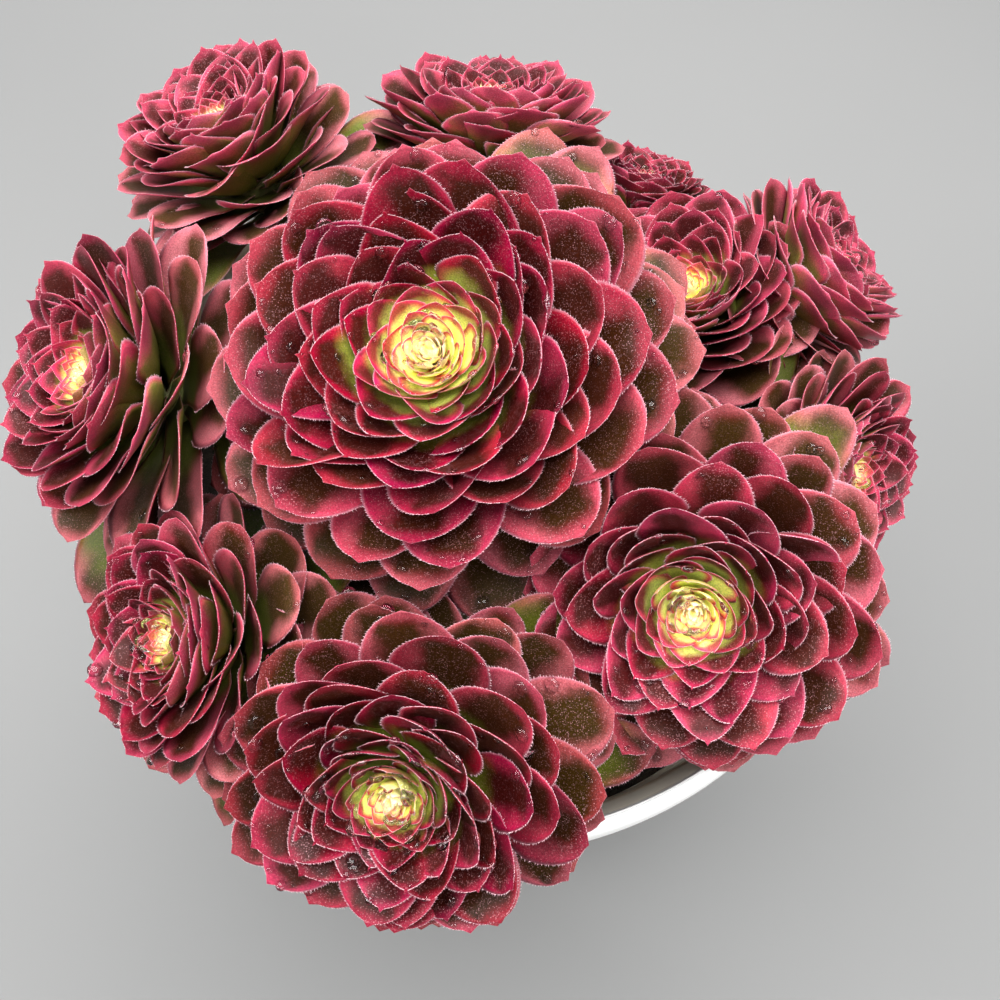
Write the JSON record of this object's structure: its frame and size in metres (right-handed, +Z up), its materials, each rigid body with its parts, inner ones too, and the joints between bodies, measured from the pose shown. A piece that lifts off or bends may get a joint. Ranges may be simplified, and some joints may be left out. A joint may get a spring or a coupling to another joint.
{
  "type": "potted aeonium",
  "caption": "Potted branching aeonium with crimson-edged leaf rosettes and green hearts, in a plain white round pot with a rolled lip.",
  "frame": {"origin": "centre of the pot's underside, on the surface that it stands on", "axes": "+Z up, -Y towards the front of the plant, where the lower rosettes lean out over the lip"},
  "size_m": [0.2473, 0.2586, 0.3282],
  "materials": {
    "pot": "satin white plastic",
    "soil": null,
    "stem": "green to brown bark with leaf scars",
    "outer_leaves": "satin leaf, crimson edge and olive brown middle",
    "inner_leaves": "satin leaf, crimson edge and maroon middle",
    "heart": "satin young leaf, yellow green with a crimson edge"
  },
  "bodies": {
    "root": {"pot": "pot", "soil": "soil", "branched_stem": "stem", "main_rosette_outer_leaves": "outer_leaves", "main_rosette_inner_leaves": "inner_leaves", "main_rosette_heart": "heart", "front_right_rosette_outer_leaves": "outer_leaves", "front_right_rosette_inner_leaves": "inner_leaves", "front_right_rosette_heart": "heart", "front_rosette_outer_leaves": "outer_leaves", "front_rosette_inner_leaves": "inner_leaves", "front_rosette_heart": "heart", "left_front_rosette_outer_leaves": "outer_leaves", "left_front_rosette_inner_leaves": "inner_leaves", "left_front_rosette_heart": "heart", "left_rosette_outer_leaves": "outer_leaves", "left_rosette_inner_leaves": "inner_leaves", "left_rosette_heart": "heart", "back_left_rosette_outer_leaves": "outer_leaves", "back_left_rosette_inner_leaves": "inner_leaves", "back_left_rosette_heart": "heart", "back_rosette_outer_leaves": "outer_leaves", "back_rosette_inner_leaves": "inner_leaves", "back_rosette_heart": "heart", "inner_right_rosette_outer_leaves": "outer_leaves", "inner_right_rosette_inner_leaves": "inner_leaves", "inner_right_rosette_heart": "heart", "right_back_rosette_outer_leaves": "outer_leaves", "right_back_rosette_inner_leaves": "inner_leaves", "right_back_rosette_heart": "heart", "right_rosette_outer_leaves": "outer_leaves", "right_rosette_inner_leaves": "inner_leaves", "right_rosette_heart": "heart", "back_right_rosette_outer_leaves": "outer_leaves", "back_right_rosette_inner_leaves": "inner_leaves", "back_right_rosette_heart": "heart"}
  },
  "joints": []
}
